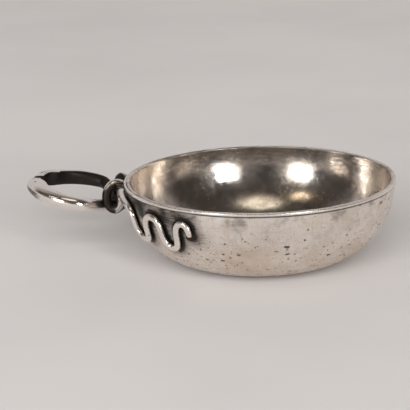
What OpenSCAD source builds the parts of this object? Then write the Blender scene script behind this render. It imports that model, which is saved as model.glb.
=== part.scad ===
// Tastevin: a shallow wine-tasting cup whose finger ring is a pair of serpents.
// Origin: centre of the flat base, on the table. +Z is up and the finger ring lies along -X.
// Lengths are in millimetres and angles in degrees.

/* [Bowl] */
// Outside diameter over the rim wire
mouth_d = 80; // [70:0.5:96]
// Height from the table to the lip
cup_h = 23.8; // [21:0.1:30]
// Diameter of the flat that the cup stands on
base_d = 34; // [26:0.5:44]
// Thickness of the silver sheet
wall_t = 1.1; // [0.7:0.05:1.6]
// Fullness of the wall curve, where 2 is an ellipse
wall_curve = 2.15; // [1.9:0.05:2.8]

/* [Rim wire] */
// How far the wire stands out from the wall
rim_proud = 0.5; // [0.3:0.05:1]
// Height of the wire
rim_h = 0.9; // [0.6:0.05:1.6]

/* [Finger ring] */
// Diameter of the ring along the middle of its rod
ring_d = 27; // [24:0.1:32]
// Slope of the ring, up and away from the bowl
ring_tilt = 10; // [0:0.5:18]
// Depth of the middle of the ring below the lip
ring_drop = 6.1; // [4:0.1:8.8]
// Distance from the knot centre to the middle of the ring
ring_gap = 12.2; // [11:0.1:15]
// Rod diameter behind the heads
rod_d = 4.9; // [3.8:0.1:5.4]
// Angle of the ring at which the rod leaves the circle for the knot
ring_sweep = 98; // [88:1:108]

/* [Heads] */
// Length of a head, along the ring
head_len = 8.6; // [7:0.1:11]
// Width of a head at the jaws
head_w = 5.7; // [5:0.1:6.6]
// Height of a head at the jaws
head_h = 5; // [4.4:0.1:5.6]
// Width of the blunt nose
nose_w = 4.3; // [3:0.1:4.8]
// Diameter of the eye sockets
eye_d = 1.3; // [0.8:0.1:1.8]

/* [Knot] */
// Depth of the knot centre below the lip
knot_drop = 6.1; // [5:0.1:7.8]
// Half height of the loop, along the middle of the rod
knot_rise = 3.6; // [3.2:0.1:4.2]
// Half width of the loop, along the middle of the rod
knot_reach = 2.4; // [2.1:0.1:3]
// Rod diameter where it enters the knot
knot_d = 3.3; // [2.8:0.1:3.6]
// Rod diameter on the outer limb of the loop
limb_d = 2.7; // [2.2:0.1:3]
// Distance from the mid-plane to the front limb of the loop
limb_y = 6.2; // [5.6:0.1:7.4]

/* [Tails] */
// Wire diameter where the tail leaves the knot
tail_d = 2.1; // [1.6:0.1:2.6]
// Wire diameter at the tip
tip_d = 1.8; // [1:0.1:2.1]
// Number of waves along the wall
waves = 2.2; // [1.2:0.05:3]
// Distance along the wall from the mid-plane to the first top
wave_from = 19.1; // [17:0.1:22.5]
// Length of the first wave, along the wall
wave_pitch = 17.9; // [16:0.1:22]
// How much each wave closes up towards the tip
wave_close = 2.2; // [0:0.1:2.7]
// Depth of the middle of the waves below the lip
wave_drop = 8.2; // [7.3:0.1:9.8]
// Half height of a wave
wave_rise = 4; // [3:0.1:4.6]
// How upright the limbs of a wave stand, from 0 to 1
wave_square = 0.8; // [0:0.05:1]
// Share of the wire radius that stays behind its middle line on the wall
flat_back = 0.6; // [0.4:0.05:0.8]
// Upward pull of the arch that leads out of the loop
arch_lift = 15; // [10:0.5:18]
// Inward pull of that arch, towards the bowl
arch_pull = 2; // [0:0.1:4]
// Length along the wall in which the arch levels out
arch_run = 16; // [11:0.5:20]

/* [Fits] */
// Solder seam between two pieces
seam = 0.05; // [0.02:0.01:0.2]

/* [Hidden] */
base_r = base_d / 2;
wall_top_r = mouth_d / 2 - rim_proud - seam;
ring_r = ring_d / 2;
ring_z = cup_h - ring_drop;
knot_z = cup_h - knot_drop;
wave_z = cup_h - wave_drop;
// Degrees round the bowl for each millimetre along the wall beside the waves
wave_turn = 180 / PI / wall_r(wave_z);
knot_y = knot_d / 2 + seam;
knot_x = wall_r(knot_z) + knot_d / 2 + 2 * seam + knot_reach;
ring_x = knot_x + ring_gap;
head_sweep = head_len / ring_r * 180 / PI;
seam_sweep = seam / ring_r * 180 / PI;
ring_up = [sin(ring_tilt), 0, cos(ring_tilt)];
// Angles of the loop, counted from its lowest point on the way to the bowl
loop_end = 441;
limb_at = 270;
shift_from = 80;
shift_to = 285;
// Pull of the blend that leads the rod from the ring into the loop
lead_pull = 1.15;
// Pull of the arch from the loop to the first wave at its two ends, as distance, angle and height
arch_leave = [-arch_pull, 0, arch_lift];
arch_arrive = [0, arch_run * wave_turn, 0];
// Shares of a head, from neck to nose: end of the jaws, start of the taper, eyes, blunt end
jaw_share = 0.72;
taper_share = 0.3;
eye_share = 0.5;
blunt_share = 0.88;
// Share of the width that is left at the flat end of a nose and of a tail tip
nose_flat = 0.7;
tip_flat = 0.3;
nose_h_share = 0.85;
// Angle of the eyes up from the side of the head
eye_lift = 48;
// Steps along each curve and round each section
wall_steps = 40;
rim_steps = 14;
ring_steps = 14;
lead_steps = 14;
loop_steps = 49;
arch_steps = 18;
wave_steps = 84;
tip_steps = 3;
head_steps = 22;
rod_sides = 20;
wire_sides = 12;
eye_sides = 24;
revolve_sides = 180;
silver = [0.80, 0.79, 0.77];
dark_silver = [0.62, 0.60, 0.58];

// Outside radius of the wall at height z
function wall_r(z) =
    base_r + (wall_top_r - base_r)
    * pow(1 - pow(max(0, 1 - z / cup_h), wall_curve), 1 / wall_curve);

// Outward normal of the wall at height z, as [radial, vertical]
function wall_normal(z) =
    let (across = wall_top_r - base_r)
    let (n_r = pow((wall_r(z) - base_r) / across, wall_curve - 1) / across)
    let (n_z = -pow(1 - z / cup_h, wall_curve - 1) / cup_h)
    [n_r, n_z] / norm([n_r, n_z]);

// Points of the wall curve from the base edge up to the lip, set in by inset
function wall_points(inset) = [
    for (i = [0 : wall_steps])
    let (a = 90 * i / wall_steps)
    let (run = wall_top_r - base_r)
    [base_r - inset / 2 + (run - inset / 2) * pow(sin(a), 2 / wall_curve),
     inset + (cup_h - inset) * (1 - pow(cos(a), 2 / wall_curve))]
];

function unit(v) = v / norm(v);

function ease(t) = let (c = min(1, max(0, t))) c * c * (3 - 2 * c);

// Cubic blend from p0 to p1 that leaves along t0 and arrives along t1
function blend(p0, t0, p1, t1, n) = [
    for (i = [1 : n - 1])
    let (t = i / n)
    let (a = t * t * (3 - 2 * t))
    p0 * (1 - a) + p1 * a + t0 * (t * (1 - t) * (1 - t)) - t1 * (t * t * (1 - t))
];

// Middle line of the near half of the ring; 0 is the nose end
function ring_point(a) =
    [-ring_x - ring_r * cos(a), -ring_r * sin(a), ring_z + ring_r * cos(a) * tan(ring_tilt)];

// Direction along the ring, away from the nose
function ring_heading(a) = unit(ring_point(a + 0.5) - ring_point(a - 0.5));

// Middle line of the loop that the serpent makes in the knot
function loop_point(a) =
    [-knot_x + knot_reach * sin(a),
     -knot_y - (limb_y - knot_y) * ease((a - shift_from) / (shift_to - shift_from)),
     knot_z - knot_rise * cos(a)];

function loop_heading(a) = unit(loop_point(a + 0.5) - loop_point(a - 0.5));

// Rod radius along the loop
function loop_radius(a) =
    a < limb_at ? (knot_d + (limb_d - knot_d) * a / limb_at) / 2
                : (limb_d + (tail_d - limb_d) * (a - limb_at) / (loop_end - limb_at)) / 2;

// Wire radius of the tail after p waves
function tail_radius(p) = (tail_d + (tip_d - tail_d) * p / waves) / 2;

// Middle line of the tail after p waves, as distance from the wall, angle and height
function wave_point(p) =
    let (rate = (wave_pitch - 2 * wave_close * p) / (4 * PI))
    let (run = wave_from + wave_pitch * p - wave_close * p * p + wave_square * rate * sin(720 * p))
    let (z = wave_z + wave_rise * cos(360 * p))
    let (n = wall_normal(z))
    let (off = tail_radius(p) * flat_back + seam)
    let (low = z + off * n[1])
    [wall_r(z) + off * n[0] - wall_r(low), run * wave_turn, low];

// Point at a distance from the wall, an angle towards the near side and a height
function beside_wall(c) =
    let (r = wall_r(c[2]) + c[0])
    [-r * cos(c[1]), -r * sin(c[1]), c[2]];

// Distance from the wall, angle and height of a point
function wall_place(p) = [norm([p[0], p[1]]) - wall_r(p[2]), atan2(-p[1], -p[0]), p[2]];

// Outward direction of the wall beside a point
function wall_out(p) =
    let (n = wall_normal(p[2]))
    let (side = unit([p[0], p[1], 0]))
    [side[0] * n[0], side[1] * n[0], n[1]];

// Direction of travel along a list of points whose first and last directions are known
function headings(path, first, last) = [
    for (i = [0 : len(path) - 1])
    i == 0 ? first
    : i == len(path) - 1 ? last
    : unit(path[i + 1] - path[i - 1])
];

// Side vectors carried along a path without twisting
function carried(dirs, first) = [
    for (i = 0, n = unit(first - dirs[0] * (first * dirs[0])); i < len(dirs);
         i = i + 1,
         n = i < len(dirs) ? unit(n - dirs[i] * (n * dirs[i])) : n)
    n
];

// Solid through a list of rings that all have the same number of points
module skin(rings) {
    n = len(rings[0]);
    last = len(rings) - 1;
    sides = [
        for (i = [0 : last - 1], j = [0 : n - 1])
        let (k = (j + 1) % n)
        each [[i * n + j, i * n + k, (i + 1) * n + k],
              [i * n + j, (i + 1) * n + k, (i + 1) * n + j]]
    ];
    foot = [for (j = [n - 1 : -1 : 0]) j];
    top = [for (j = [0 : n - 1]) last * n + j];
    polyhedron([for (ring = rings) each ring], concat(sides, [foot, top]));
}

// Body of the near serpent: half of the ring, a blend into the knot, and the loop
ring_path = [
    for (i = [0 : ring_steps])
    ring_point(head_sweep + (ring_sweep - head_sweep) * i / ring_steps)
];
lead_len = norm(loop_point(0) - ring_point(ring_sweep)) * lead_pull;
lead_path = blend(ring_point(ring_sweep), ring_heading(ring_sweep) * lead_len,
                  loop_point(0), loop_heading(0) * lead_len, lead_steps);
loop_path = [for (i = [0 : loop_steps]) loop_point(loop_end * i / loop_steps)];
body_path = concat(ring_path, lead_path, loop_path);
rod_steps = ring_steps + lead_steps;
body_radii = [
    for (i = [0 : len(body_path) - 1])
    i < rod_steps ? (rod_d + (knot_d - rod_d) * i / rod_steps) / 2
                  : loop_radius(loop_end * (i - rod_steps) / loop_steps)
];

// Tail of the near serpent: an arch out of the loop, then the waves along the wall
tail_heading = loop_heading(loop_end);
tail_start = loop_point(loop_end) + tail_heading * seam;
arch_path = blend(wall_place(tail_start), arch_leave, wave_point(0), arch_arrive, arch_steps);
wave_path = [for (i = [0 : wave_steps]) wave_point(waves * i / wave_steps)];
tail_path = concat([tail_start], [for (c = concat(arch_path, wave_path)) beside_wall(c)]);

module bowl() {
    outer = wall_points(0);
    inner = wall_points(wall_t);
    color(silver)
    rotate_extrude($fn = revolve_sides)
    polygon(concat([[0, 0]], outer, [for (i = [wall_steps : -1 : 0]) inner[i]], [[0, wall_t]]));
}

module rim_wire() {
    inner = [
        for (i = [rim_steps : -1 : 0])
        let (z = cup_h - rim_h * i / rim_steps)
        [wall_r(z) + seam, z]
    ];
    outer = [
        for (i = [0 : rim_steps])
        let (a = 90 - 180 * i / rim_steps)
        [wall_top_r + rim_proud * cos(a) + seam, cup_h - rim_h / 2 + rim_h / 2 * sin(a)]
    ];
    color(silver)
    rotate_extrude($fn = revolve_sides)
    polygon(concat(outer, inner));
}

module serpent_body() {
    dirs = headings(body_path, ring_heading(head_sweep), tail_heading);
    ups = carried(dirs, ring_up);
    skin([
        for (i = [0 : len(body_path) - 1])
        let (side = cross(dirs[i], ups[i]))
        [for (j = [0 : rod_sides - 1])
         let (a = 360 * j / rod_sides)
         body_path[i] + body_radii[i] * (cos(a) * side + sin(a) * ups[i])]
    ]);
}

module serpent_tail() {
    last = len(tail_path) - 1;
    dirs = headings(tail_path, tail_heading, unit(tail_path[last] - tail_path[last - 1]));
    skin([
        for (i = [0 : last])
        let (out = wall_out(tail_path[i]))
        let (up = unit(out - dirs[i] * (out * dirs[i])))
        let (side = cross(dirs[i], up))
        let (to_tip = min(1, (last - i) / tip_steps))
        let (taper = tip_flat + (1 - tip_flat) * sqrt(to_tip * (2 - to_tip)))
        let (r = tail_radius(waves * max(0, i - arch_steps) / wave_steps) * taper)
        let (back = 1 - (1 - flat_back) * ease(i / arch_steps))
        [for (j = [0 : wire_sides - 1])
         let (a = 360 * (j + 0.5) / wire_sides)
         tail_path[i] + r * (cos(a) * side + max(sin(a), -back) * up)]
    ]);
}

// Half width and half height of a head at share s of the way from neck to nose
function head_size(s) =
    let (swell = sin(180 * min(1, s / jaw_share)))
    let (narrow = ease((s - taper_share) / (1 - taper_share)))
    let (over = max(0, s - blunt_share) / (1 - blunt_share))
    let (blunt = nose_flat + (1 - nose_flat) * sqrt(1 - over * over))
    let (w = rod_d + (head_w - rod_d) * swell)
    let (h = rod_d + (head_h - rod_d) * swell)
    [w + (nose_w - w) * narrow, h + (nose_w * nose_h_share - h) * narrow] * blunt / 2;

// Ring angle at share s of the way from neck to nose
function head_angle(s) =
    let (neck = head_sweep - seam_sweep)
    neck + (seam_sweep / 2 - neck) * s;

// Point on the skin of a head, at share s and turned by b from its outer side
function head_point(s, b) =
    let (a = head_angle(s))
    let (size = head_size(s))
    let (side = cross(-ring_heading(a), ring_up))
    ring_point(a) + size[0] * cos(b) * side + size[1] * sin(b) * ring_up;

module serpent_head() {
    difference() {
        skin([
            for (i = [0 : head_steps])
            [for (j = [0 : rod_sides - 1]) head_point(i / head_steps, 360 * j / rod_sides)]
        ]);
        for (b = [eye_lift, 180 - eye_lift])
            translate(head_point(eye_share, b))
            sphere(d = eye_d, $fn = eye_sides);
    }
}

module right_head() {
    color(silver) serpent_head();
}

module left_head() {
    color(silver) mirror([0, 1, 0]) serpent_head();
}

module right_body() {
    color(silver) serpent_body();
}

module left_body() {
    color(silver) mirror([0, 1, 0]) serpent_body();
}

module right_tail() {
    color(dark_silver) serpent_tail();
}

module left_tail() {
    color(dark_silver) mirror([0, 1, 0]) serpent_tail();
}

bowl();
rim_wire();
right_head();
left_head();
right_body();
left_body();
right_tail();
left_tail();
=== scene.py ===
"""Silver tastevin: finer pieces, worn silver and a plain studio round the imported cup."""

from math import atan2, copysign, cos, hypot, pi, radians, sin, sqrt, tan

import bmesh
import bpy
from mathutils import Matrix, Vector, kdtree, noise


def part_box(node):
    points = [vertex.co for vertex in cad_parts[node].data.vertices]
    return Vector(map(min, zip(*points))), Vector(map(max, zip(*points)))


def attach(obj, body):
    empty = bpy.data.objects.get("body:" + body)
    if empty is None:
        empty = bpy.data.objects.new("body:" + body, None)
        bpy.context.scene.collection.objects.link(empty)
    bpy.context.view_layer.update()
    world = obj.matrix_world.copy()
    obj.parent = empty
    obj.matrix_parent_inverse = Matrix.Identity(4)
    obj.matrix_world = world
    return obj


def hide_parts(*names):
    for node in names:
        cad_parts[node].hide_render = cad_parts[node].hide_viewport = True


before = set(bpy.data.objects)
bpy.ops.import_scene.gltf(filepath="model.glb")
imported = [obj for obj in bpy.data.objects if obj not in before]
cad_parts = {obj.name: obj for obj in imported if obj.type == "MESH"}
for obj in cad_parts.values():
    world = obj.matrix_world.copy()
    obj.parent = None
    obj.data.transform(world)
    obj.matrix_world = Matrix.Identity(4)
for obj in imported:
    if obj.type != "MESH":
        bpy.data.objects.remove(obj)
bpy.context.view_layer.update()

bl_info = {
    "name": "Tastevin",
    "version": (1, 0, 0),
    "blender": (4, 5, 0),
    "location": "3D View > Sidebar > Tastevin",
    "description": "Silver tasting cup with a finger ring of two serpents, and a plain studio",
    "category": "Add Mesh",
}

MM = 0.001
BODY = "root"
UP = Vector((0.0, 0.0, 1.0))
MOUTH_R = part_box("rim_wire")[1].x
LIP_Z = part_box("bowl")[1].z

# Steps of the meshes, and angles for sharp edges and directions
TURN_STEPS = 288
WALL_STEPS = 64
FLAT_STEPS = 8
LIP_STEPS = 5
RIM_STEPS = 20
RING_STEPS = 60
LEAD_STEPS = 40
LOOP_STEPS = 130
ARCH_STEPS = 48
WAVE_STEPS = 240
TIP_STEPS = 6
HEAD_STEPS = 110
ROD_SIDES = 56
WIRE_SIDES = 28
HEAD_SIDES = 96
SHARP_ANGLE = radians(45)
SMALL_TURN = radians(0.5)

# Bowl, rim wire and solder seam
CLOSE = 0.001 * MM
SEAM = 0.05 * MM
LIP_REACH = 3 * MM
RIM_SQUARE = 0.45
RIM_FIT = 0.99

# Loop of the knot, as angles from its lowest point, and the rod that leads to it
LOOP_END = radians(441)
LIMB_AT = radians(270)
SHIFT = (radians(80), radians(285))
LEAD_PULL = 1.15
ROD_UNEVEN = 0.012

# Places along a rod and along a head, as shares of the length from the neck, and proportions of a head
ROUND_FROM = 0.27
LEAD_FROM = 0.33
KNOT_FROM = 0.4
JAW_SHARE = 0.72
TAPER_SHARE = 0.3
EYE_SHARE = 0.62
EYE_LIFT = radians(64)
MOUTH_FROM = 0.42
MOUTH_DROP = 0.12
MARK_ROWS = 0.75 * MM
MARK_COUNT = 17
BLUNT_SHARE = 0.88
NOSE_FLAT = 0.45
NOSE_H_SHARE = 0.85

# Flats of a forged rod, as shares of its radius, then squareness and tip of a wire
FLAT_SIDE = 0.55
SIDE_KEPT = 0.4
FLAT_TOP = 0.45
TOP_KEPT = 0.2
TOP_SLOPE = 0.15
SECTION_MIDDLE = (0.135, -0.2)
SECTION_GROWTH = (1.156, 1.235)
WIRE_SQUARE = 0.8
TIP_FLAT = 0.5


# Settings


def length(name, description, millimetres):
    """A length that a user may change."""
    return bpy.props.FloatProperty(
        name=name, description=description, default=millimetres * MM, min=0.0, precision=5, unit="LENGTH"
    )


def angle(name, description, degrees):
    """An angle that a user may change."""
    return bpy.props.FloatProperty(
        name=name, description=description, default=radians(degrees), subtype="ANGLE", unit="ROTATION"
    )


def number(name, description, default):
    """A plain number that a user may change."""
    return bpy.props.FloatProperty(name=name, description=description, default=default, min=0.0)


def colour(name, description, default):
    """A colour that a user may change."""
    return bpy.props.FloatVectorProperty(
        name=name, description=description, default=default, size=3, min=0.0, max=1.0, subtype="COLOR"
    )


class BowlSettings(bpy.types.PropertyGroup):
    """Sizes of the bowl and its rim wire."""

    mouth_d: length("Mouth", "Outside diameter over the rim wire", 2 * MOUTH_R / MM)
    cup_h: length("Height", "Height from the table to the lip", LIP_Z / MM)
    base_d: length("Base", "Diameter of the flat base", 34)
    wall_t: length("Wall", "Thickness of the silver sheet", 1.1)
    wall_curve: number("Fullness", "Fullness of the wall, where 2 is an ellipse", 2.15)
    rim_proud: length("Rim wire depth", "Depth of the wire, out from the wall", 0.5)
    rim_h: length("Rim wire height", "Height of the wire", 0.9)
    lip_round: length("Lip rounding", "Rounding of the inner edge", 0.2)
    lip_edge: length("Lip edge", "Rounding of the outer edge", 0.14)
    hammer_depth: length("Hammer marks", "Depth of the planishing marks", 0.05)
    hammer_size: length("Hammer size", "Width of a planishing mark", 9)
    lip_sag: length("Lip dents", "Depth of the dents", 0.1)


class SerpentSettings(bpy.types.PropertyGroup):
    """Sizes of the two serpents, which mirror each other."""

    ring_d: length("Ring", "Diameter along the middle of the rod", 27)
    ring_tilt: angle("Ring slope", "Slope up and away from the bowl", 10)
    ring_drop: length("Ring depth", "Depth of its middle below the lip", 6.1)
    ring_gap: length("Ring reach", "Distance from the knot centre to its middle", 12.2)
    ring_sweep: angle("Ring sweep", "Angle at which the rod leaves the circle", 98)
    rod_d: length("Rod", "Diameter behind the heads", 4.9)
    head_len: length("Head length", "Length along the ring", 8.6)
    head_w: length("Head width", "Width at the jaws", 5.7)
    head_h: length("Head height", "Height at the jaws", 5)
    nose_w: length("Nose", "Width of the blunt nose", 4.3)
    eye_len: length("Eye length", "Length of an eye socket", 2.3)
    eye_w: length("Eye width", "Width of an eye socket", 0.75)
    eye_depth: length("Eye depth", "Depth of an eye socket", 0.35)
    mouth_depth: length("Mouth depth", "Depth of the line of the mouth", 0.22)
    nose_knock: length("Nose dent", "Depth of the dent on the near nose", 1.0)
    head_slim: number("Slim inner side", "Share taken off the inner side", 0.55)
    knot_drop: length("Knot depth", "Depth of its centre below the lip", 6.1)
    knot_rise: length("Loop half height", "Half height of its middle line", 3.6)
    knot_reach: length("Loop half width", "Half width of its middle line", 2.4)
    knot_d: length("Knot rod", "Diameter where it enters the knot", 3.3)
    limb_d: length("Limb rod", "Diameter on the outer limb of the loop", 2.7)
    limb_y: length("Limb distance", "Distance from the mid-plane to the front limb", 6.2)
    tail_d: length("Tail wire", "Diameter where the tail leaves the knot", 2.1)
    tip_d: length("Tip wire", "Diameter at the tip", 1.8)
    waves: number("Waves", "Number of waves", 2.23)
    wave_from: length("First top", "Distance along the wall from the mid-plane", 19.1)
    wave_pitch: length("Wave length", "Length of the first wave, along the wall", 17.9)
    wave_close: length("Wave closing", "Closing of the waves towards the tip", 2.2)
    wave_drop: length("Wave depth", "Depth of their middle below the lip", 8.2)
    wave_rise: length("Wave half height", "Half height of a wave", 4)
    wave_square: number("Upright limbs", "How upright the limbs stand, from 0 to 1", 0.8)
    flat_back: number("Flat back", "Share of the radius behind its middle line", 0.6)
    arch_d: length("Arch wire", "Diameter at the loop", 2.6)
    arch_lift: length("Arch lift", "Upward pull of the arch", 15)
    arch_pull: length("Arch pull", "Inward pull of the arch", 2)
    arch_run: length("Arch run", "Length in which the arch levels out", 16)


class FinishSettings(bpy.types.PropertyGroup):
    """Colours of the silver."""

    silver: colour("Silver", "Bare silver, polished by use", (0.91, 0.86, 0.82))
    tarnish: colour("Tarnish", "Thin warm tarnish", (0.60, 0.48, 0.37))
    inner: colour("Inner tarnish", "Brown film inside the bowl", (0.50, 0.43, 0.36))
    smudge: colour("Smudges", "Grey film in streaks below the rim", (0.24, 0.21, 0.185))
    # This colour also serves as painted shade in the hollows of the knot, inside the ring and where the
    # wires meet the wall.
    patina_and_shade: colour("Patina", "Dark film in the recesses", (0.045, 0.038, 0.033))
    pit: colour("Pits", "Dirt in the pits", (0.07, 0.055, 0.045))


class StageSettings(bpy.types.PropertyGroup):
    """Floor, light and camera."""

    floor: colour("Floor", "Pale floor", (0.575, 0.552, 0.545))
    pale: colour("Backdrop", "Pale surroundings near the floor", (0.57, 0.54, 0.53))
    upper: colour("Upper backdrop", "Surroundings high up behind the cup", (0.30, 0.275, 0.25))
    dark: colour("Dark side", "Unlit room on the camera's side", (0.055, 0.048, 0.043))
    ceiling: colour("Ceiling", "Lit ceiling", (1.0, 0.92, 0.77))
    lamp: colour("Lamp", "Warm lamp behind the camera", (1.0, 0.84, 0.62))
    box_light: number("Soft box", "Brightness of the two soft boxes", 10.0)
    fill_light: number("Fill light", "Brightness of the wide lights", 2.65)
    lens: number("Lens", "Focal length in millimetres", 148.3)
    view_turn: angle("View azimuth", "Turn of the camera round the cup", 12)
    view_lift: angle("View elevation", "Angle of the camera above the table", 15.87)
    view_roll: angle("View roll", "Roll of the camera", 1.06)
    view_distance: length("View distance", "Distance from the camera to the cup", 500)
    view_pan: angle("View pan", "Turn of the camera to the left", 1.882)
    view_pitch: angle("View pitch", "Upward turn of the camera", 0.370)


# Curves of the wall and of a serpent


def ramp(value, start, end):
    """Smooth rise from 0 at start to 1 at end."""
    t = min(1.0, max(0.0, (value - start) / (end - start)))
    return t * t * (3 - 2 * t)


def blend(p0, t0, p1, t1, count):
    """Points of a cubic from p0 to p1 that leaves along t0 and arrives along t1."""
    points = []
    for i in range(1, count):
        t = i / count
        a = ramp(t, 0, 1)
        leave = t0 * (t * (1 - t) ** 2)
        arrive = t1 * (t * t * (1 - t))
        points.append(p0 * (1 - a) + p1 * a + leave - arrive)
    return points


class WallCurve:
    """Outside curve of the bowl's wall."""

    def __init__(self, bowl):
        self.base_r = bowl.base_d / 2
        self.top_r = bowl.mouth_d / 2 - bowl.rim_proud - SEAM
        self.height = bowl.cup_h
        self.power = bowl.wall_curve

    def radius(self, z):
        """Outside radius at height z."""
        rise = 1 - max(0.0, 1 - z / self.height) ** self.power
        return self.base_r + (self.top_r - self.base_r) * max(0.0, rise) ** (1 / self.power)

    def normal(self, z):
        """Outward normal at height z, as radial and vertical parts."""
        across = self.top_r - self.base_r
        radial = ((self.radius(z) - self.base_r) / across) ** (self.power - 1) / across
        down = max(0.0, 1 - z / self.height) ** (self.power - 1) / self.height
        return Vector((radial, -down)).normalized()

    def outward(self, point):
        """Outward normal of the wall beside a point."""
        radial, vertical = self.normal(point.z)
        side = Vector((point.x, point.y, 0.0)).normalized() * radial
        return side + UP * vertical

    def clearance(self, point):
        """Distance of a point from the wall, measured level."""
        return hypot(point.x, point.y) - self.radius(point.z)

    def points(self, inset):
        """Points from the base edge up to the lip, set in, as radius and height."""
        points = []
        for i in range(WALL_STEPS + 1):
            a = pi / 2 * i / WALL_STEPS
            out = sin(a) ** (2 / self.power)
            up = 1 - max(0.0, cos(a)) ** (2 / self.power)
            radius = self.base_r - inset / 2 + (self.top_r - self.base_r - inset / 2) * out
            points.append((radius, inset + (self.height - inset) * up))
        return points


class SerpentLine:
    """Middle lines and sections of the near serpent."""

    def __init__(self, scene):
        bowl = scene.tastevin_bowl
        s = scene.tastevin_serpent
        self.sizes = s
        self.wall = WallCurve(bowl)
        self.ring_r = s.ring_d / 2
        self.ring_z = bowl.cup_h - s.ring_drop
        self.knot_z = bowl.cup_h - s.knot_drop
        self.wave_z = bowl.cup_h - s.wave_drop
        self.knot_y = s.knot_d / 2 + SEAM
        self.knot_x = self.wall.radius(self.knot_z) + s.knot_d / 2 + 2 * SEAM + s.knot_reach
        self.ring_x = self.knot_x + s.ring_gap
        self.ring_up = Vector((sin(s.ring_tilt), 0.0, cos(s.ring_tilt)))
        self.head_sweep = s.head_len / self.ring_r
        self.wave_turn = 1 / self.wall.radius(self.wave_z)

    def ring_point(self, a):
        """Middle line of the ring's near half; 0 is the nose end."""
        level = self.ring_r * cos(a)
        return Vector((-self.ring_x - level, -self.ring_r * sin(a),
                       self.ring_z + level * tan(self.sizes.ring_tilt)))

    def loop_point(self, a):
        """Middle line of the loop in the knot, counted from its lowest point."""
        s = self.sizes
        shift = ramp(a, *SHIFT)
        y = self.knot_y + (s.limb_y - self.knot_y) * shift
        return Vector((s.knot_reach * sin(a) - self.knot_x, -y, self.knot_z - s.knot_rise * cos(a)))

    @staticmethod
    def heading(line, a):
        """Direction along a line at angle a."""
        return (line(a + SMALL_TURN) - line(a - SMALL_TURN)).normalized()

    def loop_radius(self, a):
        """Rod radius along the loop."""
        s = self.sizes
        if a < LIMB_AT:
            return (s.knot_d + (s.limb_d - s.knot_d) * a / LIMB_AT) / 2
        return (s.limb_d + (s.arch_d - s.limb_d) * (a - LIMB_AT) / (LOOP_END - LIMB_AT)) / 2

    def body_path(self):
        """Points and radii of the rod from the neck to the end of the loop."""
        s = self.sizes
        span = s.ring_sweep - self.head_sweep
        ring = [self.ring_point(self.head_sweep + span * i / RING_STEPS) for i in range(RING_STEPS + 1)]
        pull = (self.loop_point(0) - ring[-1]).length * LEAD_PULL
        lead = blend(ring[-1], self.heading(self.ring_point, s.ring_sweep) * pull,
                     self.loop_point(0), self.heading(self.loop_point, 0) * pull, LEAD_STEPS)
        turns = [LOOP_END * i / LOOP_STEPS for i in range(LOOP_STEPS + 1)]
        straight = len(ring) + len(lead)
        rod = [(s.rod_d + (s.knot_d - s.rod_d) * i / straight) / 2 for i in range(straight)]
        points = ring + lead + [self.loop_point(a) for a in turns]
        return points, rod + [self.loop_radius(a) for a in turns]

    def tail_radius(self, p):
        """Wire radius of the tail after p waves."""
        s = self.sizes
        return (s.tail_d + (s.tip_d - s.tail_d) * p / s.waves) / 2

    def wave_run(self, p):
        """Distance along the wall after p waves, before the limbs are set upright."""
        s = self.sizes
        return s.wave_from + s.wave_pitch * p - s.wave_close * p * p

    def wave_point(self, p):
        """Middle line of the tail after p waves, as distance from the wall, angle and height."""
        s = self.sizes
        rate = (s.wave_pitch - 2 * s.wave_close * p) / (4 * pi)
        run = self.wave_run(p) + s.wave_square * rate * sin(4 * pi * p)
        z = self.wave_z + s.wave_rise * cos(2 * pi * p)
        radial, vertical = self.wall.normal(z)
        off = self.tail_radius(p) * s.flat_back + SEAM
        low = z + off * vertical
        stand = self.wall.radius(z) + off * radial - self.wall.radius(low)
        return Vector((stand, run * self.wave_turn, low))

    def beside_wall(self, place):
        """Point at a distance from the wall, an angle towards the near side and a height."""
        r = self.wall.radius(place.z) + place.x
        return Vector((-r * cos(place.y), -r * sin(place.y), place.z))

    def tail_path(self):
        """Points of the tail from the end of the loop to the tip."""
        s = self.sizes
        start = self.loop_point(LOOP_END)
        place = Vector((self.wall.clearance(start), atan2(-start.y, -start.x), start.z))
        leave = Vector((-s.arch_pull, 0.0, s.arch_lift))
        arrive = Vector((0.0, s.arch_run * self.wave_turn, 0.0))
        arch = blend(place, leave, self.wave_point(0), arrive, ARCH_STEPS)
        waves = [self.wave_point(s.waves * i / WAVE_STEPS) for i in range(WAVE_STEPS + 1)]
        return [start] + [self.beside_wall(p) for p in arch + waves]

    def head_size(self, t):
        """Half width and half height of a head at share t from neck to nose."""
        s = self.sizes
        swell = sin(pi * min(1.0, t / JAW_SHARE))
        narrow = ramp(t, TAPER_SHARE, 1)
        over = max(0.0, t - BLUNT_SHARE) / (1 - BLUNT_SHARE)
        blunt = (NOSE_FLAT + (1 - NOSE_FLAT) * sqrt(max(0.0, 1 - over * over))) / 2
        w = s.rod_d + (s.head_w - s.rod_d) * swell
        h = s.rod_d + (s.head_h - s.rod_d) * swell
        return (w + (s.nose_w - w) * narrow) * blunt, (h + (s.nose_w * NOSE_H_SHARE - h) * narrow) * blunt

    def head_frame(self, t):
        """Middle point, heading and inner side of a head at share t."""
        nose = SEAM / 2 / self.ring_r
        a = self.head_sweep + (nose - self.head_sweep) * t
        heading = -self.heading(self.ring_point, a)
        return self.ring_point(a), heading, heading.cross(self.ring_up)

    def inward(self, vert):
        """How squarely a point of the ring faces the middle of the ring."""
        return vert.normal.dot((Vector((-self.ring_x, 0.0, self.ring_z)) - vert.co).normalized())


# Mesh tools


def station(point, heading, out, half_width, half_height, lift=0.0):
    """Matrix that carries a unit ring to a place on a path: x across, y outward, z along."""
    along = heading.normalized()
    up = (out - along * out.dot(along)).normalized()
    across = along.cross(up)
    turn = Matrix((across, up, along)).transposed().to_4x4()
    size = Matrix.Diagonal((half_width, half_height, half_width, 1.0))
    return Matrix.Translation(point + up * lift) @ turn @ size


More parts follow.
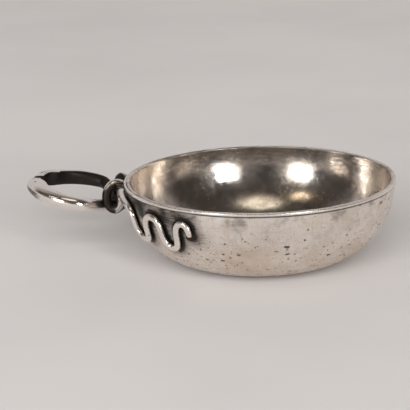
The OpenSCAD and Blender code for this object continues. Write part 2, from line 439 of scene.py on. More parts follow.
def headings(points, first, last):
    """Direction of travel at each point of a path."""
    inner = [(b - a).normalized() for a, b in zip(points, points[2:])]
    return [first] + inner + [last]


def forged_section(x, y, flat=1.0):
    """Section of a forged rod, by a share flat on its sloping top and its inner side."""
    across = x if x > -FLAT_SIDE else -FLAT_SIDE + (x + FLAT_SIDE) * SIDE_KEPT
    rise = y if y < FLAT_TOP else FLAT_TOP + (y - FLAT_TOP) * TOP_KEPT
    rise -= TOP_SLOPE * across * ramp(rise, 0, FLAT_TOP)
    across = (across - SECTION_MIDDLE[0]) * SECTION_GROWTH[0]
    rise = (rise - SECTION_MIDDLE[1]) * SECTION_GROWTH[1]
    return x + (across - x) * flat, y + (rise - y) * flat


def body_section(x, y, along):
    """Section of a rod that is flat on top at the neck and round before the knot."""
    return forged_section(x, y, 1 - ramp(along, 0, ROUND_FROM))


def head_section(x, y, along):
    """Section of a head, whose inner side is on the other hand."""
    x, y = forged_section(-x, y)
    return -x, y


def flattened_section(x, y, along):
    """Section of a hammered wire: nearly flat faces with rounded edges."""
    return copysign(abs(x) ** WIRE_SQUARE, x), copysign(abs(y) ** WIRE_SQUARE, y)


def sweep(places, sides, section):
    """Extrudes a ring of edges through stations, shapes its section and closes both ends."""
    bm = bmesh.new()
    along = bm.verts.layers.float.new("along")
    bm.verts.layers.float.new("painted_shade_and_patina")
    ring = bmesh.ops.create_circle(bm, segments=sides, radius=1.0)["verts"]
    bmesh.ops.transform(bm, matrix=places[0], verts=ring)
    edges = bm.edges[:]
    end = len(places) - 1
    for step, (last, here) in enumerate(zip(places, places[1:]), 1):
        grown = bmesh.ops.extrude_edge_only(bm, edges=edges)["geom"]
        ring = [part for part in grown if isinstance(part, bmesh.types.BMVert)]
        new = set(ring)
        edges = [part for part in grown
                 if isinstance(part, bmesh.types.BMEdge) and new.issuperset(part.verts)]
        bmesh.ops.transform(bm, matrix=here @ last.inverted(), verts=ring)
        for vert in ring:
            vert[along] = step / end
    for vert in bm.verts:
        place = places[round(vert[along] * end)]
        x, y, z = place.inverted() @ vert.co
        vert.co = place @ Vector((*section(x, y, vert[along]), 0.0))
    bmesh.ops.holes_fill(bm, edges=bm.edges[:], sides=0)
    bmesh.ops.recalc_face_normals(bm, faces=bm.faces[:])
    if bm.calc_volume(signed=True) < 0:
        bmesh.ops.reverse_faces(bm, faces=bm.faces[:])
    bm.normal_update()
    return bm, along


def turn_profile(profile, closed):
    """Spins a profile of radius and height right round the upright axis."""
    bm = bmesh.new()
    verts = [bm.verts.new((r, 0.0, z)) for r, z in profile]
    ends = verts[1:] + verts[:1] if closed else verts[1:]
    edges = [bm.edges.new(pair) for pair in zip(verts, ends)]
    bmesh.ops.spin(bm, geom=verts + edges, cent=(0, 0, 0), axis=UP, dvec=(0, 0, 0),
                   angle=2 * pi, steps=TURN_STEPS, use_merge=True)
    bmesh.ops.remove_doubles(bm, verts=bm.verts[:], dist=CLOSE)
    bmesh.ops.recalc_face_normals(bm, faces=bm.faces[:])
    return bm


def paint(bm, value_of):
    """Stores the share of dark film and painted shade on each vertex."""
    layers = bm.verts.layers.float
    layer = layers.get("painted_shade_and_patina") or layers.new("painted_shade_and_patina")
    for vert in bm.verts:
        vert[layer] = min(1.0, max(0.0, value_of(vert)))


def put(name, data):
    """Adds an object to the scene."""
    thing = bpy.data.objects.new(name, data)
    bpy.context.scene.collection.objects.link(thing)
    return thing


def finished_mesh(bm, name, materials):
    """Mesh in the given materials."""
    mesh = bpy.data.meshes.new(name)
    bm.to_mesh(mesh)
    bm.free()
    for material in materials:
        mesh.materials.append(material)
    return mesh


def make_piece(bm, name, kinds, node):
    """Makes an object of silver that stands for one CAD node."""
    for face in bm.faces:
        face.smooth = True
    mesh = finished_mesh(bm, name, [silver_for(kind) for kind in kinds])
    mesh.set_sharp_from_angle(angle=SHARP_ANGLE)
    piece = put(name, mesh)
    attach(piece, BODY)
    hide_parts(node)


def make_half(bm, far, part, kind):
    """Makes a near piece of a serpent, or its mirror image on the far side."""
    side = "right"
    if far:
        side = "left"
        bmesh.ops.scale(bm, vec=(1, -1, 1), verts=bm.verts[:])
        bmesh.ops.reverse_faces(bm, faces=bm.faces[:])
    make_piece(bm, f"serpent_{side}_{part}", [kind], f"{side}_{part}")


# Shader tools

SCRATCH_RADIUS = 38 * MM
PIT_WANDER = (1.1 * MM, 1.1 * MM, 1.1 * MM)
PIT_EDGE = 0.55


def feed(tree, node, inputs):
    """Feeds the inputs of a node from values or other nodes."""
    for key, value in inputs.items():
        if isinstance(value, bpy.types.NodeSocket):
            tree.links.new(value, node.inputs[key])
        else:
            node.inputs[key].default_value = value


def add(tree, kind, inputs, **settings):
    """Adds a shader node with its settings and inputs."""
    node = tree.nodes.new("ShaderNode" + kind)
    for name, value in settings.items():
        setattr(node, name, value)
    feed(tree, node, inputs)
    return node


def maths(tree, operation, *values):
    """One step of arithmetic."""
    return add(tree, "Math", dict(enumerate(values)), operation=operation).outputs[0]


def times(tree, a, b):
    """Product of two values."""
    return maths(tree, "MULTIPLY", a, b)


def vector(tree, operation, a, b):
    """Outputs of one step of arithmetic on vectors."""
    return add(tree, "VectorMath", {0: a, 1: b}, operation=operation).outputs


def weighted(tree, start, *parts):
    """Start value, plus each mask times its amount."""
    for mask, amount in parts:
        start = maths(tree, "MULTIPLY_ADD", mask, amount, start)
    return start


def fade(tree, value, start, end, low=0.0, high=1.0):
    """Value carried smoothly from start and end to low and high."""
    inputs = {"Value": value, "From Min": start, "From Max": end, "To Min": low, "To Max": high}
    return add(tree, "MapRange", inputs, interpolation_type="SMOOTHSTEP").outputs["Result"]


def mix_colour(tree, share, a, b):
    """Colour a, with a share of colour b over it."""
    return add(tree, "Mix", {0: share, 6: a, 7: b}, data_type="RGBA").outputs[2]


def new_material(name):
    """New material: itself, its nodes, its shader and the place on the object."""
    material = bpy.data.materials.new(name)
    material.use_nodes = True
    tree = material.node_tree
    return material, tree, tree.nodes["Principled BSDF"], add(tree, "TexCoord", {}).outputs["Object"]


def rgba(value):
    """Colour setting with full alpha."""
    return (*value, 1.0)


def scratch_mask(tree, entry):
    """Thin straight scratches along the first axis of a place."""
    inputs = {"Vector": entry["Place"], "Angle": entry["Turn"]}
    turned = add(tree, "VectorRotate", inputs, rotation_type="Z_AXIS").outputs[0]
    part = add(tree, "SeparateXYZ", {0: turned}).outputs
    along = maths(tree, "DIVIDE", part["X"], entry["Length"])
    across = maths(tree, "DIVIDE", part["Y"], entry["Width"])
    place = add(tree, "CombineXYZ", {"X": along, "Y": across}).outputs[0]
    inputs = {"Vector": place, "Scale": 1.0, "Detail": 2.0, "Roughness": 0.6}
    field = add(tree, "TexNoise", inputs, noise_dimensions="2D").outputs[0]
    start = maths(tree, "SUBTRACT", 1.0, entry["Cover"])
    return fade(tree, field, start, maths(tree, "ADD", start, entry["Softness"]))


def pit_mask(tree, entry):
    """Scattered pits with ragged edges."""
    wander = add(tree, "TexNoise", {"Vector": entry["Place"], "Scale": 900.0, "Detail": 2.0}).outputs[1]
    shift = vector(tree, "MULTIPLY", wander, PIT_WANDER)[0]
    ragged = vector(tree, "ADD", entry["Place"], shift)[0]
    cells = add(tree, "TexVoronoi", {"Vector": ragged, "Scale": entry["Density"]}).outputs
    draw = add(tree, "SeparateColor", {0: cells["Color"]}).outputs
    size = times(tree, draw["Green"], entry["Size"])
    spot = fade(tree, cells["Distance"], size, times(tree, size, PIT_EDGE))
    return times(tree, spot, maths(tree, "LESS_THAN", draw["Red"], entry["Share"]))


def patch_mask(tree, entry):
    """Cloudy patches of film."""
    scale = maths(tree, "DIVIDE", 1.0, entry["Size"])
    inputs = {"Vector": entry["Place"], "Scale": scale, "Detail": 5.0, "Roughness": 0.62, "Distortion": 0.4}
    return fade(tree, add(tree, "TexNoise", inputs).outputs[0], entry["Start"], entry["Full"])


MASKS = {
    "Fine scratches": (scratch_mask, "Turn", "Length", "Width", "Cover", "Softness"),
    "Pits": (pit_mask, "Density", "Size", "Share"),
    "Film patches": (patch_mask, "Size", "Start", "Full"),
}


def new_mask(name, build, *values):
    """Builds a node group that makes a mask of a place and some values."""
    group = bpy.data.node_groups.new(name, "ShaderNodeTree")
    sockets = [("Place", "INPUT", "Vector"), *((value, "INPUT", "Float") for value in values)]
    for socket, side, kind in (*sockets, ("Mask", "OUTPUT", "Float")):
        group.interface.new_socket(name=socket, in_out=side, socket_type="NodeSocket" + kind)
    entry = group.nodes.new("NodeGroupInput").outputs
    feed(group, group.nodes.new("NodeGroupOutput"), {"Mask": build(group, entry)})
    return group


def use_mask(tree, name, *values):
    """Places a shared mask in a material and feeds its inputs in order."""
    group = bpy.data.node_groups.get(name) or new_mask(name, *MASKS[name])
    return add(tree, "Group", dict(enumerate(values)), node_tree=group).outputs["Mask"]


def round_place(tree, place):
    """Place on a turned wall: distance round it, distance up or across it, and radius."""
    part = add(tree, "SeparateXYZ", {0: place}).outputs
    turn = maths(tree, "ARCTAN2", part["Y"], part["X"])
    across = times(tree, part["X"], part["X"])
    radius = maths(tree, "SQRT", maths(tree, "MULTIPLY_ADD", part["Y"], part["Y"], across))
    run = times(tree, turn, SCRATCH_RADIUS)
    rise = maths(tree, "ADD", part["Z"], radius)
    return add(tree, "CombineXYZ", {"X": run, "Y": rise, "Z": radius}).outputs[0]


# Scratches: direction in radians, length and width, then cover and softness where fixed
SCRATCH_EDGE = 0.12
SCRATCHES = {
    "level": (0.03, 14 * MM, 0.13 * MM),
    "upright": (1.5, 8 * MM, 0.16 * MM),
    "slant": (0.75, 7 * MM, 0.13 * MM),
}
WIPED = (0.0, 26 * MM, 0.55 * MM, 0.5, SCRATCH_EDGE)
SMEARED = (0.0, 3 * MM, 0.45 * MM, 0.8, 0.6)

# Patches: size, and the noise at which they start and are full. Pits: density and size.
USED = (8 * MM, 0.32, 0.62)
HAZE = (1.6 * MM, 0.35, 0.75)
SMUDGE = (7 * MM, 0.44, 0.66)
PITS = (560.0, 0.42)
SPECKS = (1200.0, 0.54)
PIT_STRETCH = (0.65, 1.0, 1.0)
PIT_DEPTH = 2.0
PIT_DIRT = 0.9
RIM_SEAM_Z = 22.72 * MM
SCRATCH_ROUGH = 0.2
HAZE_ROUGH = 0.08
VEIL_ROUGH = 0.42
GRAIN = 0.5
BUMP_HEIGHT = 0.03 * MM

# Amounts of wear on plain silver, and what differs on each kind of surface
PLAIN = dict(
    level=0.44, upright=0.42, slant=0.38, scratch_dark=0.25, cut=0.5, pits=0.0, specks=0.05, film=0.5,
    film_colour="tarnish", film_size=10 * MM, film_start=0.42, film_full=0.75, low_film=0.0, high_film=1.0,
    haze=0.2, smudge=0.0, smudge_from=13 * MM, smudge_full=22 * MM, seam=0.0, veil=0.0, rough=0.2,
    film_rough=0.16, deep_rough=0.3, dimple=0.0, bump=0.3,
)
LOOKS = {
    "outside": dict(
        level=0.45, upright=0.46, scratch_dark=0.6, pits=0.3, specks=0.28, film=0.6, film_start=0.36,
        low_film=0.24, high_film=0.75, haze=0.3, smudge=0.7, seam=0.8,
    ),
    "inside": dict(
        scratch_dark=0.1, cut=0.12, specks=0.04, film=0.95, film_colour="inner", film_size=9 * MM,
        film_start=0.26, film_full=0.64, haze=0.22, smudge=0.45, smudge_from=-2 * MM, smudge_full=-MM,
        veil=0.8, rough=0.1, film_rough=0.11, deep_rough=0.02, dimple=2.5, bump=0.2,
    ),
    "rim": dict(film=0.3),
    "serpent": dict(scratch_dark=0.1, film=0.1, film_size=6 * MM, haze=0.05, rough=0.14),
    "tail": dict(scratch_dark=0.15, specks=0.12, film=0.12, film_size=4 * MM, haze=0.08),
}


def worn_silver(name, look):
    """Silver with the film, scratches and pits of a look, darkened by the painted shade and dark oxide
    stored on its vertices.
    """
    finish = bpy.context.scene.tastevin_finish
    material, tree, shader, place = new_material(name)
    height = add(tree, "SeparateXYZ", {0: place}).outputs["Z"]
    on_wall = round_place(tree, place)

    def streaks(*values):
        return use_mask(tree, "Fine scratches", on_wall, *values)

    def patches(*values):
        return use_mask(tree, "Film patches", place, *values)

    scratches = 0.0
    for kind, line in SCRATCHES.items():
        scratches = maths(tree, "MAXIMUM", streaks(*line, look[kind], SCRATCH_EDGE), scratches)
    scratches = times(tree, scratches, patches(*USED))
    lower = fade(tree, height, 20 * MM, 9 * MM, 0.25, 1.0)
    stretched = vector(tree, "MULTIPLY", on_wall, PIT_STRETCH)[0]
    holes = 0.0
    for kind, where, sizes in (("pits", stretched, PITS), ("specks", place, SPECKS)):
        share = times(tree, lower, look[kind])
        holes = maths(tree, "MAXIMUM", use_mask(tree, "Pits", where, *sizes, share), holes)
    film = patches(look["film_size"], look["film_start"], look["film_full"])
    low = fade(tree, height, 20 * MM, 3 * MM, 0.0, look["low_film"])
    kept = fade(tree, height, 14 * MM, 21 * MM, look["film"], look["film"] * look["high_film"])
    film = maths(tree, "MULTIPLY_ADD", film, kept, low)
    haze = patches(*HAZE)
    smudge = patches(*SMUDGE)
    handled = maths(tree, "MAXIMUM", streaks(*WIPED), smudge)
    high = fade(tree, height, look["smudge_from"], look["smudge_full"], 0.0, look["smudge"])
    handled = times(tree, times(tree, handled, smudge), high)
    # Painted shade and dark oxide stored on the vertices, with a faint smear and the dark seam line under
    # the rim, darken the silver towards the darkest colour.
    painted_shade_and_patina = add(tree, "Attribute", {}, attribute_name="painted_shade_and_patina").outputs["Fac"]
    smear = streaks(*SMEARED)
    deep = fade(tree, maths(tree, "MULTIPLY_ADD", smear, 0.2, painted_shade_and_patina), 0.26, 0.98)
    from_seam = maths(tree, "ABSOLUTE", maths(tree, "SUBTRACT", height, RIM_SEAM_Z))
    deep = maths(tree, "MAXIMUM", deep, fade(tree, from_seam, 0.32 * MM, 0.1 * MM, 0.0, look["seam"]))
    tint = mix_colour(tree, film, rgba(finish.silver), rgba(getattr(finish, look["film_colour"])))
    stains = (
        (scratches, look["scratch_dark"], finish.tarnish), (haze, look["haze"], finish.tarnish),
        (handled, 1.0, finish.smudge), (deep, 1.0, finish.patina_and_shade), (holes, PIT_DIRT, finish.pit),
    )
    for mask, share, tone in stains:
        tint = mix_colour(tree, times(tree, mask, share), tint, rgba(tone))
    if look["veil"]:
        feed(tree, shader, {"Coat Roughness": VEIL_ROUGH, "Coat Weight": times(tree, film, look["veil"])})
    rough = weighted(tree, look["rough"], (film, look["film_rough"]), (haze, HAZE_ROUGH),
                     (scratches, SCRATCH_ROUGH * look["cut"]), (deep, look["deep_rough"]))
    grain = add(tree, "TexNoise", {"Vector": place, "Scale": 1400.0, "Detail": 3.0}).outputs[0]
    dimples = add(tree, "TexNoise", {"Vector": place, "Scale": 420.0, "Detail": 2.0}).outputs[0]
    relief = weighted(tree, 0.0, (grain, GRAIN), (dimples, look["dimple"]),
                      (scratches, -look["cut"]), (holes, -PIT_DEPTH))
    inputs = {"Strength": look["bump"], "Distance": BUMP_HEIGHT, "Height": relief}
    bump = add(tree, "Bump", inputs).outputs[0]
    feed(tree, shader, {"Metallic": 1.0, "Base Color": tint, "Roughness": rough, "Normal": bump})
    return material


def silver_for(kind):
    """Worn silver for a kind of surface, made once."""
    name = "worn_silver_" + kind
    return bpy.data.materials.get(name) or worn_silver(name, {**PLAIN, **LOOKS[kind]})


# Pieces


def dent_lip(bm, bowl):
    """Knocks the lip down a little here and there."""
    for vert in bm.verts:
        around = Vector((vert.co.x, vert.co.y, 0.0)).normalized()
        knock = max(0.0, noise.noise(around * 3.1 + UP * 4.0) - 0.05)
        ripple = max(0.0, noise.noise(around * 11.0 + UP * 9.0))
        near_lip = ramp(vert.co.z, bowl.cup_h - LIP_REACH, bowl.cup_h)
        vert.co.z -= bowl.lip_sag * near_lip * (1.5 * knock + 0.25 * ripple)


def tail_distance(line):
    """Measures the distance of a point from the nearer tail."""
    path = line.tail_path()
    tree = kdtree.KDTree(len(path))
    for i, point in enumerate(path):
        tree.insert(point, i)
    tree.balance()
    return lambda point: tree.find((point.x, -abs(point.y), point.z))[2]


def round_lip(bm, bowl):
    """Rounds the two edges of the lip."""
    outside = WallCurve(bowl).top_r
    for radius, offset in ((outside - bowl.wall_t, bowl.lip_round), (outside, bowl.lip_edge)):
        on_edge = {v for v in bm.verts
                   if bowl.cup_h - v.co.z < CLOSE and abs(v.co.xy.length - radius) < CLOSE}
        edges = [e for e in bm.edges if on_edge.issuperset(e.verts)]
        bmesh.ops.bevel(bm, geom=edges, offset=offset, segments=LIP_STEPS, profile=0.5, affect="EDGES",
                        material=-1)


def build_bowl(scene):
    """Raised bowl: a turned wall with a rounded lip, planished all over."""
    bowl = scene.tastevin_bowl
    line = SerpentLine(scene)
    wall = line.wall
    outer = wall.points(0.0)
    inner = wall.points(bowl.wall_t)
    under = [(wall.base_r * i / FLAT_STEPS, 0.0) for i in range(FLAT_STEPS)]
    floor = [(inner[0][0] * i / FLAT_STEPS, bowl.wall_t) for i in range(FLAT_STEPS)]
    bm = turn_profile(under + outer + inner[::-1] + floor[::-1], closed=False)
    round_lip(bm, bowl)
    bm.normal_update()
    for vert in bm.verts:
        mark = noise.noise(vert.co / bowl.hammer_size) + 0.5 * noise.noise(vert.co / bowl.hammer_size * 2.3)
        share = ramp(vert.co.z, 0, 4 * MM) * ramp(vert.co.z, bowl.cup_h, bowl.cup_h - LIP_REACH)
        vert.co += vert.normal * (bowl.hammer_depth * mark * share)
    dent_lip(bm, bowl)
    distance = tail_distance(line)
    tip_run = line.wave_run(line.sizes.waves)

    # Inside: painted dark reflection on the upper wall, to the right and on the far side. Outside: a dark
    # film close to the tail wire, partly oxide and partly painted shade, and an oxide smear above the waves
    # and past the tip.
    def shade_and_dirt(vert):
        x, y, z = vert.co
        if wall.clearance(vert.co) < -0.5 * bowl.wall_t:
            return 0.5 * ramp(z, 14 * MM, 20 * MM) * max(ramp(x, 22 * MM, 32 * MM), ramp(y, 0, 30 * MM))
        gap = distance(vert.co) - line.sizes.tail_d / 2
        close = ramp(gap, 3 * MM, 0)
        wide = 0.6 * ramp(gap, 7 * MM, 0)
        along = atan2(abs(y), -x) / line.wave_turn
        past_tip = along - tip_run
        above = ramp(along, 8 * MM, 14 * MM) * ramp(past_tip, 6 * MM, -2 * MM)
        above *= ramp(z, line.wave_z - MM, line.wave_z + 3 * MM)
        above *= 0.72 + 0.5 * noise.noise(vert.co / (4 * MM))
        beyond = ramp(past_tip, -4 * MM, 0) * ramp(past_tip, 10 * MM, 0)
        beyond *= 0.7 * ramp(abs(z - line.wave_z), 6.5 * MM, 0)
        return max(close, wide, above, beyond)

    paint(bm, shade_and_dirt)
    bm.normal_update()
    for face in bm.faces:
        middle = face.calc_center_median()
        inward = face.normal.dot(Vector((middle.x, middle.y, 0.0))) < 0
        inside = middle.z < bowl.cup_h - 2 * bowl.lip_round and (inward or face.normal.z > 0.5)
        face.material_index = 1 if inside else 0
    make_piece(bm, "cup_bowl", ["outside", "inside"], "bowl")


def build_rim(scene):
    """Wire on the outside of the lip, squared by wear."""
    bowl = scene.tastevin_bowl
    wall = WallCurve(bowl)
    outer = []
    for i in range(RIM_STEPS + 1):
        a = pi / 2 - pi * i / RIM_STEPS
        rise = copysign(abs(sin(a)) ** RIM_SQUARE, sin(a))
        stand = max(0.0, cos(a)) ** RIM_SQUARE
        height = bowl.cup_h - bowl.rim_h / 2 * (1 - rise)
        outer.append((wall.top_r + SEAM + RIM_FIT * bowl.rim_proud * stand, height))
    inner = [(wall.radius(z) + SEAM / 4, z) for r, z in outer[-2:0:-1]]
    bm = turn_profile(outer + inner, closed=True)
    dent_lip(bm, bowl)
    dark_from = bowl.cup_h - 0.6 * bowl.rim_h
    film_full = bowl.cup_h - 0.9 * bowl.rim_h
    paint(bm, lambda vert: 0.8 * ramp(vert.co.z, dark_from, film_full))
    make_piece(bm, "cup_rim_wire", ["rim"], "rim_wire")


def outer_shade(vert, inward):
    """Share of painted shade on the outer lower side of the ring, beside the heads."""
    return ramp(inward, -0.2, -0.6) * ramp(vert.normal.z, 0.35, -0.05)


def build_body(line, far):
    """Rod of one serpent: half of the ring, then a loop in the knot."""
    s = line.sizes
    points, radii = line.body_path()
    first = line.heading(line.ring_point, line.head_sweep)
    dirs = headings(points, first, line.heading(line.loop_point, LOOP_END))
    out = line.ring_up
    places = []
    for point, heading, radius in zip(points, dirs, radii):
        out = (out - heading * out.dot(heading)).normalized()
        radius *= 1 + ROD_UNEVEN * noise.noise(point / (4 * MM))
        places.append(station(point, heading, out, radius, radius))
    bm, along = sweep(places, ROD_SIDES, body_section)
    knot = Vector((-line.knot_x, -(line.knot_y + s.limb_y) / 2, line.knot_z))
    reach = s.knot_rise + s.limb_d
    # Where the painted shade on the inner side of the ring begins: on the far serpent it reaches over the
    # top of the rod.
    dark_from = -0.45 if far else 0.15

    # Painted shade on faces turned into the knot, on the rod beside the wall, on the inner side of the ring
    # and on the outer lower side behind the head. The knot is darkened all over, partly oxide and partly
    # painted shade, with its top and its front limb kept lighter where light falls. A dark film lies on top
    # of the lead into the knot.
    def shade_and_dirt(vert):
        share = vert[along]
        away = knot - vert.co
        inside = max(0.0, vert.normal.dot(away.normalized())) * ramp(away.length, 2 * reach, reach)
        wall_side = ramp(line.wall.clearance(vert.co), 2.5 * MM, 0.3 * MM)
        kept_bright = ramp(vert.normal.z, 0.3, 0.7) * ramp(vert.co.z, line.knot_z + MM, line.knot_z + 2 * MM)
        limb = 0.45 * ramp(vert.normal.y, -0.3, -0.7) * ramp(vert.co.x, -line.knot_x, MM - line.knot_x)
        in_knot = (0.95 - max(0.95 * kept_bright, limb)) * ramp(share, KNOT_FROM, KNOT_FROM + 0.04)
        on_lead = ramp(share, LEAD_FROM, KNOT_FROM) * ramp(vert.normal.z, -0.1, 0.3) * (1 - kept_bright)
        inward = line.inward(vert)
        in_ring = 0.92 * ramp(inward, dark_from, dark_from + 0.5)
        behind_head = 0.7 * ramp(share, 0.13, 0.03) * outer_shade(vert, inward)
        return max(1.2 * inside, wall_side, in_knot, 0.85 * on_lead, in_ring, behind_head)

    paint(bm, shade_and_dirt)
    make_half(bm, far, "body", "serpent")


def chased_mark(vert, t, aside):
    """Short cuts in two rows on top of a head."""
    row = ramp(abs(abs(aside) - MARK_ROWS), 0.3 * MM, 0)
    cut = ramp(sin(pi * MARK_COUNT * t), 0.1, 0.6)
    return row * cut * ramp(vert.normal.z, 0.5, 0.8) * ramp(t, 0, 0.1) * ramp(t, 0.62, 0.52)


def eye_sockets(line):
    """Measures the share of a socket's depth at a point of a head."""
    s = line.sizes
    middle, heading, side = line.head_frame(EYE_SHARE)
    w, h = line.head_size(EYE_SHARE)
    eyes = [middle + side * (w * cos(lift)) + line.ring_up * (h * sin(lift))
            for lift in (EYE_LIFT, pi - EYE_LIFT)]

    def depth(point):
        deepest = 0.0
        for centre in eyes:
            away = point - centre
            along = away.dot(heading)
            across = (away - heading * along).length
            deepest = max(deepest, 1 - (2 * along / s.eye_len) ** 2 - (2 * across / s.eye_w) ** 2)
        return sqrt(deepest)

    return depth


def build_head(line, far):
    """Blunt head of one serpent, with eye sockets and the line of the mouth."""
    s = line.sizes
    places = []
    for i in range(HEAD_STEPS + 1):
        middle, heading, side = line.head_frame(i / HEAD_STEPS)
        places.append(station(middle, heading, line.ring_up, *line.head_size(i / HEAD_STEPS)))
    bm, along = sweep(places, HEAD_SIDES, head_section)
    socket = eye_sockets(line)
    marks = {}
    for vert in bm.verts:
        share = vert[along]
        middle, heading, side = line.head_frame(share)
        level = (vert.co - middle).dot(line.ring_up) + MOUTH_DROP * s.head_h
        aside = (vert.co - middle).dot(side)
        pit = socket(vert.co)
        groove = ramp(abs(level), 0.28 * MM, 0) * ramp(share, MOUTH_FROM, MOUTH_FROM + 0.15)
        knock = 0.0
        if far:
            groove = max(groove, chased_mark(vert, share, aside))
        else:
            knock = ramp(share, 0.72, 0.92) * ramp(aside, -1.2 * MM, -0.4 * MM) * ramp(level, 0, 1.2 * MM)
        vert.co -= vert.normal * (s.eye_depth * pit + s.mouth_depth * groove)
        vert.co -= line.ring_up * (s.nose_knock * knock)
        vert.co -= side * (max(0.0, aside) * s.head_slim * ramp(share, 0, 0.6))
        marks[vert] = max(pit, groove, ramp(knock, 0.6, 1))

    # Dark oxide in the eye sockets, the mouth line, the chased marks and the nose dent; painted shade where
    # the two noses meet, on the inner side of the head and on its outer lower side.
    def shade_and_dirt(vert):
        inward = line.inward(vert)
        nose = ramp(vert[along], 0.87, 0.93) * ramp(inward, -0.55, -0.15)
        below = 0.7 * ramp(vert[along], 0.95, 0.75) * outer_shade(vert, inward)
        return max(1.3 * marks[vert], nose, 0.92 * ramp(inward, 0.15, 0.65), below)

    paint(bm, shade_and_dirt)
    make_half(bm, far, "head", "serpent")


def build_tail(line, far):
    """Flattened wire of one tail, waving along the wall to a rounded tip."""
    s = line.sizes
    points = line.tail_path()
    last = len(points) - 1
    dirs = headings(points, line.heading(line.loop_point, LOOP_END), (points[-1] - points[-2]).normalized())
    places = []
    for i, (point, heading) in enumerate(zip(points, dirs)):
        to_tip = min(1.0, (last - i) / TIP_STEPS)
        taper = TIP_FLAT + (1 - TIP_FLAT) * sqrt(to_tip * (2 - to_tip))
        heavier = (s.arch_d - s.tail_d) / 2 * ramp(i, 2 * ARCH_STEPS, 0)
        radius = (line.tail_radius(s.waves * max(0, i - ARCH_STEPS) / WAVE_STEPS) + heavier) * taper
        back = 1 - (1 - s.flat_back) * ramp(i, 0, ARCH_STEPS)
        half_height = radius * (1 + back) / 2
        out = line.wall.outward(point)
        places.append(station(point, heading, out, radius, half_height, radius - half_height))
    bm = sweep(places, WIRE_SIDES, flattened_section)[0]
    # Painted shade on the wire where it lies against the wall.
    paint(bm, lambda vert: ramp(line.wall.clearance(vert.co), 1.05 * MM, 0.15 * MM))
    make_half(bm, far, "tail", "tail")


def build_both(build, scene):
    """Builds the near piece and the far one."""
    for far in (False, True):
        build(SerpentLine(scene), far)


# Lamps: azimuth in degrees and share of light; then elevation, distance, width and height for each kind
BOXES = {"soft_box_right": (-45, 1.0), "soft_box_left": (-117, 1.0)}
BOX_PLACE = (17, 4.5, 1.3, 1.8)
FILLS = {"fill_right": (2, 0.2), "fill_front": (-78, 2.35), "fill_left": (-158, 0.35)}
FILL_PLACE = (25, 4.0, 4.0, 3.0)

# Floor
FLOOR_RADIUS = 1.6
FLOOR_SIDES = 96
FLOOR_CLOUDS = 0.94

# Room: heights between which its near and far sides change colour, and facings where they meet
NEAR_CHANGE = (0.09, 0.17)
FAR_CHANGE = (0.62, 0.75)
MEETING = (-0.45, -0.05)

# Camera
QUARTER = pi / 2
SENSOR = 36.0
AIM = Vector((0.0, 0.0, 12 * MM))


def build_floor(stage):
    """Wide plain floor under the cup, with faint clouds in its tone."""
    material, tree, shader, place = new_material("pale_floor")
    clouds = add(tree, "TexNoise", {"Vector": place, "Scale": 9.0, "Detail": 3.0}).outputs[0]
    deeper = tuple(FLOOR_CLOUDS * part for part in stage.floor)
    tone = mix_colour(tree, fade(tree, clouds, 0.35, 0.7), rgba(stage.floor), rgba(deeper))
    feed(tree, shader, {"Base Color": tone, "Roughness": 0.65, "Specular IOR Level": 0.25})
    bm = bmesh.new()
    bmesh.ops.create_circle(bm, cap_ends=True, segments=FLOOR_SIDES, radius=FLOOR_RADIUS)
    floor = put("floor", finished_mesh(bm, "floor", [material]))


def direction(turn, lift):
    """Direction at an azimuth and an elevation."""
    return Vector((cos(lift) * cos(turn), cos(lift) * sin(turn), sin(lift)))


def room_ramp(tree, height, change, tones):
    """Colour of the room by height, which changes between two heights."""
    node = add(tree, "ValToRGB", {0: height})
    for element, position, tone in zip(node.color_ramp.elements, change, tones):
        element.position = position
        element.color = rgba(tone)
    return node.outputs[0]


def build_room(stage):
    """Surroundings: pale low down and behind the cup, unlit behind the camera, lit overhead."""
    world = bpy.data.worlds.new("studio")
    world.use_nodes = True
    bpy.context.scene.world = world
    tree = world.node_tree
    way = add(tree, "TexCoord", {}).outputs["Generated"]
    height = add(tree, "SeparateXYZ", {0: way}).outputs["Z"]
    viewer = direction(stage.view_turn - QUARTER, 0.0)
    facing = vector(tree, "DOT_PRODUCT", way, viewer)["Value"]
    near = room_ramp(tree, height, NEAR_CHANGE, (stage.pale, stage.dark))
    far = room_ramp(tree, height, FAR_CHANGE, (stage.pale, stage.upper))
    room = mix_colour(tree, fade(tree, facing, *MEETING), far, near)
    strength = 1.0
    for turn, lift, inner, outer, tone, boost in ((-76, 74, 0.98, 0.962, stage.ceiling, 0.3),
                                                  (-133, 52, 0.997, 0.988, stage.lamp, 1.2)):
        patch = direction(radians(turn), radians(lift))
        share = fade(tree, vector(tree, "DOT_PRODUCT", way, patch)["Value"], outer, inner)
        room = mix_colour(tree, share, room, rgba(tone))
        strength = maths(tree, "MULTIPLY_ADD", share, boost, strength)
    feed(tree, tree.nodes["Background"], {"Color": room, "Strength": strength})


def add_lamps(lamps, brightness, lift, distance, width, height, seen):
    """Rectangular lamps that face the cup, seen in the silver or not."""
    for name, (turn, share) in lamps.items():
        lamp = bpy.data.lights.new(name, "AREA")
        lamp.shape = "RECTANGLE"
        lamp.size = width
        lamp.size_y = height
        lamp.energy = share * brightness * pi * width * height
        box = put(name, lamp)
        away = direction(radians(turn), radians(lift))
        box.location = away * distance
        box.rotation_mode = "QUATERNION"
        box.rotation_quaternion = away.to_track_quat("Z", "Y")
        box.visible_glossy = seen


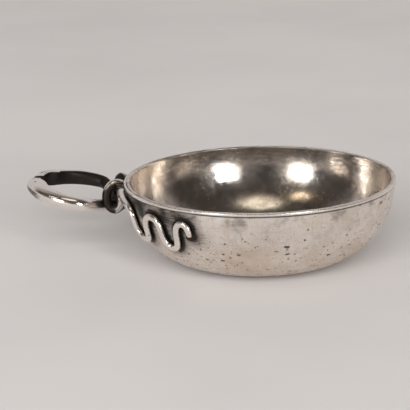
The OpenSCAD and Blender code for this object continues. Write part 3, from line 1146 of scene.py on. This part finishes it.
def build_camera(stage):
    """Camera at the photograph's viewing angle."""
    data = bpy.data.cameras.new("camera")
    data.lens = stage.lens
    data.sensor_width = SENSOR
    camera = put("camera", data)
    back = direction(stage.view_turn - QUARTER, stage.view_lift)
    right = UP.cross(back).normalized()
    turn = Matrix((right, back.cross(right), back)).transposed()
    for amount, axis in ((-stage.view_roll, "Z"), (stage.view_pan, "Y"), (stage.view_pitch, "X")):
        turn = turn @ Matrix.Rotation(amount, 3, axis)
    camera.location = AIM + back * stage.view_distance
    camera.rotation_mode = "QUATERNION"
    camera.rotation_quaternion = turn.to_quaternion()
    bpy.context.scene.camera = camera


def build_stage(stage):
    """Floor, surroundings, lamps and camera."""
    build_floor(stage)
    build_room(stage)
    add_lamps(BOXES, stage.box_light, *BOX_PLACE, seen=True)
    add_lamps(FILLS, stage.fill_light, *FILL_PLACE, seen=False)
    build_camera(stage)
    bpy.context.scene.view_settings.view_transform = "Standard"


# Operators and panel


class AddBowl(bpy.types.Operator):
    """Builds the raised bowl."""

    bl_idname = "tastevin.bowl"
    bl_label = "Bowl"

    def execute(self, context):
        build_bowl(context.scene)
        return {"FINISHED"}


class AddRimWire(bpy.types.Operator):
    """Builds the wire round the mouth."""

    bl_idname = "tastevin.rim_wire"
    bl_label = "Rim wire"

    def execute(self, context):
        build_rim(context.scene)
        return {"FINISHED"}


class AddBodies(bpy.types.Operator):
    """Builds the rods of both serpents."""

    bl_idname = "tastevin.bodies"
    bl_label = "Serpent bodies"

    def execute(self, context):
        build_both(build_body, context.scene)
        return {"FINISHED"}


class AddHeads(bpy.types.Operator):
    """Builds the heads of both serpents."""

    bl_idname = "tastevin.heads"
    bl_label = "Serpent heads"

    def execute(self, context):
        build_both(build_head, context.scene)
        return {"FINISHED"}


class AddTails(bpy.types.Operator):
    """Builds the tails of both serpents."""

    bl_idname = "tastevin.tails"
    bl_label = "Serpent tails"

    def execute(self, context):
        build_both(build_tail, context.scene)
        return {"FINISHED"}


class AddStage(bpy.types.Operator):
    """Builds the floor, the light and the camera."""

    bl_idname = "tastevin.stage"
    bl_label = "Stage"

    def execute(self, context):
        build_stage(context.scene.tastevin_stage)
        return {"FINISHED"}


class TastevinPanel(bpy.types.Panel):
    """Lists the settings and the pieces."""

    bl_idname = "VIEW3D_PT_tastevin"
    bl_label = "Tastevin"
    bl_space_type = "VIEW_3D"
    bl_region_type = "UI"
    bl_category = "Tastevin"

    def draw(self, context):
        for operator in OPERATORS:
            self.layout.operator(operator.bl_idname)
        for name in SETTINGS:
            group = getattr(context.scene, name)
            box = self.layout.box()
            for prop in group.bl_rna.properties:
                if prop.identifier not in ("rna_type", "name"):
                    box.prop(group, prop.identifier)


OPERATORS = (AddBowl, AddRimWire, AddBodies, AddHeads, AddTails, AddStage)
SETTINGS = {
    "tastevin_bowl": BowlSettings,
    "tastevin_serpent": SerpentSettings,
    "tastevin_finish": FinishSettings,
    "tastevin_stage": StageSettings,
}


def register():
    """Registers the settings, operators and panel."""
    for name, group in SETTINGS.items():
        bpy.utils.register_class(group)
        setattr(bpy.types.Scene, name, bpy.props.PointerProperty(type=group))
    for item in (*OPERATORS, TastevinPanel):
        bpy.utils.register_class(item)


def unregister():
    """Takes the settings, operators and panel away again."""
    for item in (TastevinPanel, *reversed(OPERATORS)):
        bpy.utils.unregister_class(item)
    for name, group in reversed(SETTINGS.items()):
        delattr(bpy.types.Scene, name)
        bpy.utils.unregister_class(group)


def main():
    """Builds every piece and the stage."""
    register()
    bpy.ops.tastevin.bowl()
    bpy.ops.tastevin.rim_wire()
    bpy.ops.tastevin.bodies()
    bpy.ops.tastevin.heads()
    bpy.ops.tastevin.tails()
    bpy.ops.tastevin.stage()


if __name__ == "__main__":
    main()
